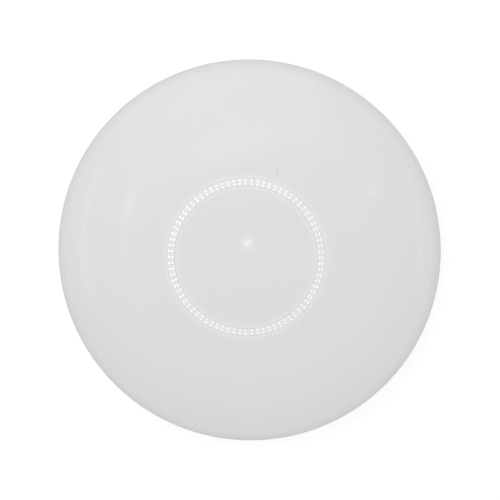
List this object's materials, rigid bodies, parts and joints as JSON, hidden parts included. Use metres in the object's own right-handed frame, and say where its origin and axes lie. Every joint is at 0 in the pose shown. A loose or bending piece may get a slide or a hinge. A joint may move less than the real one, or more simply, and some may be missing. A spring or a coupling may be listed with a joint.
{
  "type": "ceiling access point",
  "caption": "Round domed ceiling access point with a beaded light ring, network socket, reset button and twist-lock bracket, stored lying on its back.",
  "frame": {"origin": "centre of the bracket's ceiling face, on the dome's axis", "axes": "+Z out of the ceiling into the room, along the dome's axis; +Y towards the heat sink, away from the network socket's mouth; +X to the right, seen from the room"},
  "size_m": [0.176, 0.176, 0.043],
  "materials": {
    "cover_white": "fine satin moulded, glossy white",
    "rear_white": "matt moulded white",
    "bracket_white": "matt moulded white",
    "latch_white": "matt moulded white",
    "lens_clear": "translucent white, polished",
    "guide_clear": "translucent, polished",
    "light_package": "moulded with a clear window",
    "board_green": "solder mask over copper",
    "chip_black": "moulded epoxy",
    "support_white": "moulded",
    "header_black": "moulded, with plated pins",
    "heat_sink": "as cast and tumbled",
    "thermal_pad": "soft filled silicone",
    "ferrite": "ground ferrite",
    "bobbin_tape": "winding tape",
    "capacitor_sleeve": "shrunk sleeve",
    "inductor_grey": "pressed metal powder",
    "shield_steel": "tin-plated sheet",
    "crystal_steel": "plated can",
    "socket_black": "moulded",
    "contact_gold": "gold flash",
    "switch_black": "moulded",
    "stem_black": "moulded",
    "button_grey": "moulded",
    "screw_steel": "zinc plated",
    "antenna_metal": "nickel-plated stamped sheet",
    "label_paper": "blank polyester label"
  },
  "bodies": {
    "bracket": {"mounting_bracket": "bracket_white"},
    "housing": {"front_cover": "cover_white", "rear_cover": "rear_white", "light_ring": "lens_clear", "light_guide": "guide_clear", "status_lights": "light_package", "main_board": "board_green", "front_end_chips": "chip_black", "antenna_supports": "support_white", "console_header": "header_black", "heat_sink": "heat_sink", "thermal_pads": "thermal_pad", "transformer_core": "ferrite", "transformer_bobbin": "bobbin_tape", "large_capacitors": "capacitor_sleeve", "power_inductors": "inductor_grey", "socket_shell": "shield_steel", "socket_insert": "socket_black", "socket_contacts": "contact_gold", "reset_switch": "switch_black", "case_screws": "screw_steel", "board_screws": "screw_steel", "sink_screws": "screw_steel", "rating_label": "label_paper", "processor_chip": "chip_black", "memory_chip": "chip_black", "flash_chip": "chip_black", "network_chip": "chip_black", "line_transformer": "chip_black", "power_chips": "chip_black", "clock_crystals": "crystal_steel", "bridge_rectifiers": "chip_black", "radio_2g_shield": "shield_steel", "radio_5g_shield": "shield_steel", "radio_2g_chip": "chip_black", "radio_5g_chip": "chip_black", "antenna_1": "antenna_metal", "antenna_2": "antenna_metal", "antenna_3": "antenna_metal", "front_end_shield_1": "shield_steel", "front_end_shield_2": "shield_steel", "front_end_shield_3": "shield_steel"},
    "latch": {"lock_latch": "latch_white"},
    "reset_button": {"reset_button": "button_grey"},
    "switch_stem": {"reset_switch_stem": "stem_black"}
  },
  "joints": [
    {"name": "bracket_twist", "type": "hinge", "parent": "bracket", "child": "housing", "pos_m": [0, 0, 0.0065], "axis": [0, 0, 1], "range_deg": [0, 18]},
    {"name": "latch_flex", "type": "hinge", "parent": "bracket", "child": "latch", "pos_m": [0.04277, 0.0313, 0.0017], "axis": [0, 0, -1], "range_deg": [0, 4.97], "stiffness_Nm_per_rad": 0.3},
    {"name": "reset_press", "type": "slide", "parent": "housing", "child": "reset_button", "axis": [0, 0, 1], "range_m": [0, 0.0003], "stiffness_N_per_m": 4000},
    {"name": "switch_press", "type": "slide", "parent": "housing", "child": "switch_stem", "axis": [0, 0, 1], "range_m": [0, 0.0003], "stiffness_N_per_m": 1000}
  ],
  "couplings": [
    {"joint": "latch_flex", "follows": "bracket_twist", "ratio": 0.27556},
    {"joint": "switch_press", "follows": "reset_press", "ratio": 1}
  ]
}
